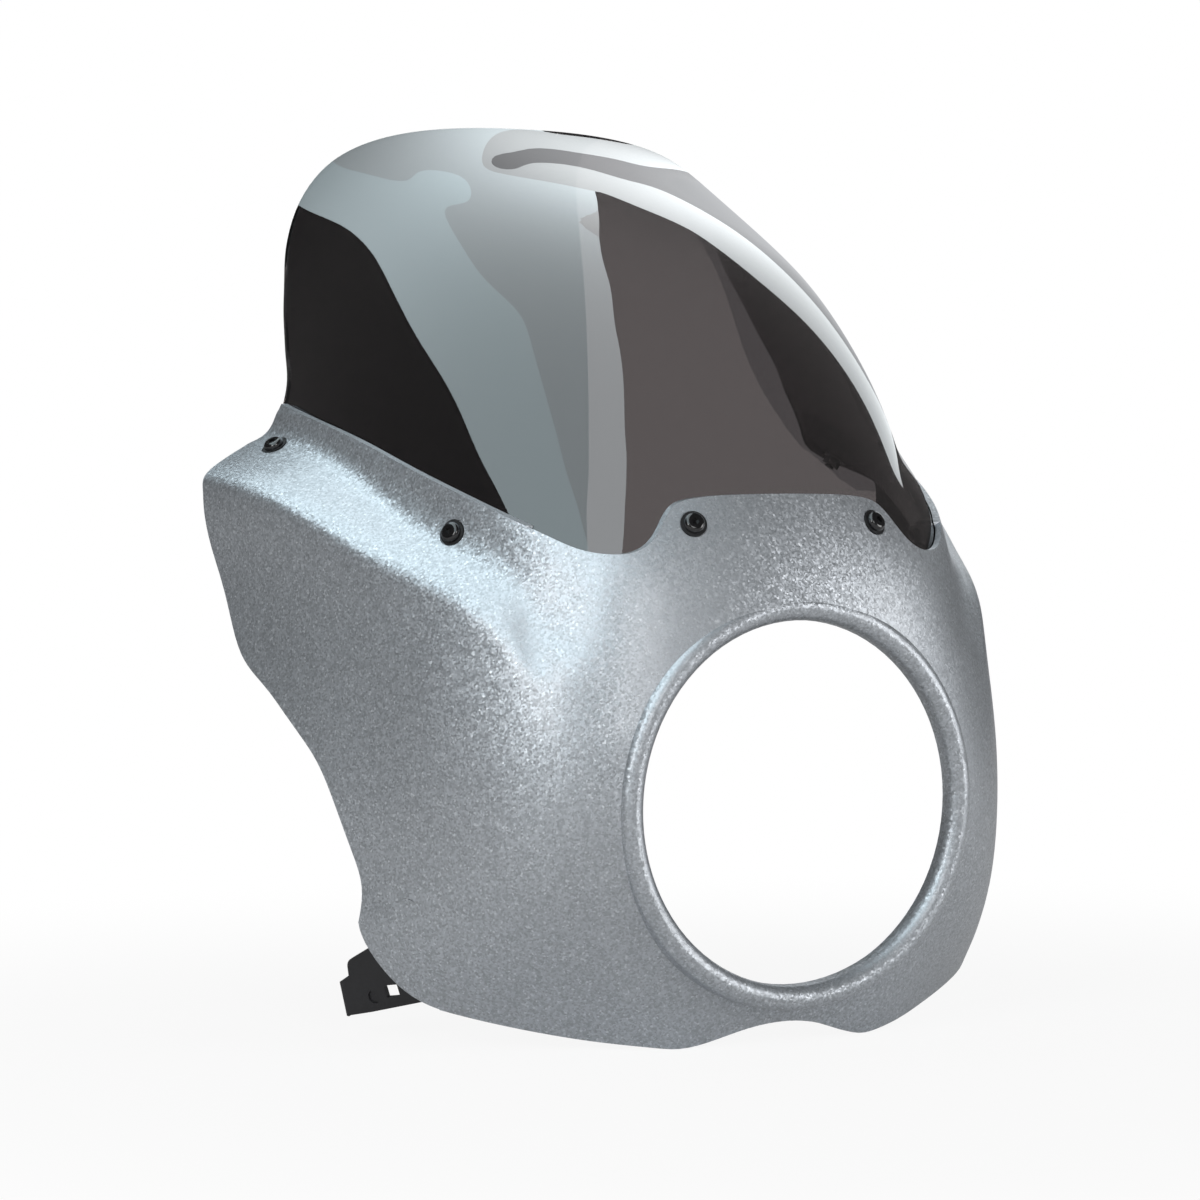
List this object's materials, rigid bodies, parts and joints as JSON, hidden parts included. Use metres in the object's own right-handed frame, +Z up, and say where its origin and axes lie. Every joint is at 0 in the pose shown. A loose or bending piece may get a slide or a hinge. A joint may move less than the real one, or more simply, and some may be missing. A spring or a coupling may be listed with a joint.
{
  "type": "headlight cowl",
  "caption": "Motorbike headlight cowl: moulded silver shell around a round headlight opening, with a screwed-on smoked windscreen and stamped side brackets.",
  "frame": {"origin": "on the axis of the headlight opening, in the plane of the crest of its rim bead", "axes": "+Z up, +Y towards the rider along the opening's axis, +X to the right side as seen from the front; symmetric about X = 0"},
  "size_m": [0.3972, 0.2726, 0.4401],
  "materials": {
    "painted_shell": "silver metallic paint with flake on moulded plastic",
    "smoked_acrylic": "smoked gloss",
    "black_steel": "satin black",
    "black_fastener": "black oxide",
    "black_nylon": "semi-matt",
    "zinc_steel": "zinc plated",
    "brass_insert": "knurled, plain here"
  },
  "bodies": {
    "root": {"bracket_left": "black_steel", "bracket_right": "black_steel", "bracket_screw_lower_left": "black_fastener", "bracket_screw_lower_right": "black_fastener", "bracket_screw_upper_left": "black_fastener", "bracket_screw_upper_right": "black_fastener", "bracket_washer_lower_left": "zinc_steel", "bracket_washer_lower_right": "zinc_steel", "bracket_washer_upper_left": "zinc_steel", "bracket_washer_upper_right": "zinc_steel", "cowl_shell": "painted_shell", "insert_lower_left": "brass_insert", "insert_lower_right": "brass_insert", "insert_upper_left": "brass_insert", "insert_upper_right": "brass_insert", "tab_nut_left": "zinc_steel", "tab_nut_right": "zinc_steel", "tab_screw_left": "black_fastener", "tab_screw_right": "black_fastener", "tab_washer_left": "black_nylon", "tab_washer_right": "black_nylon", "windscreen": "smoked_acrylic", "wing_front_nut_left": "zinc_steel", "wing_front_nut_right": "zinc_steel", "wing_front_screw_left": "black_fastener", "wing_front_screw_right": "black_fastener", "wing_front_washer_left": "black_nylon", "wing_front_washer_right": "black_nylon", "wing_rear_nut_left": "zinc_steel", "wing_rear_nut_right": "zinc_steel", "wing_rear_screw_left": "black_fastener", "wing_rear_screw_right": "black_fastener", "wing_rear_washer_left": "black_nylon", "wing_rear_washer_right": "black_nylon"}
  },
  "joints": []
}
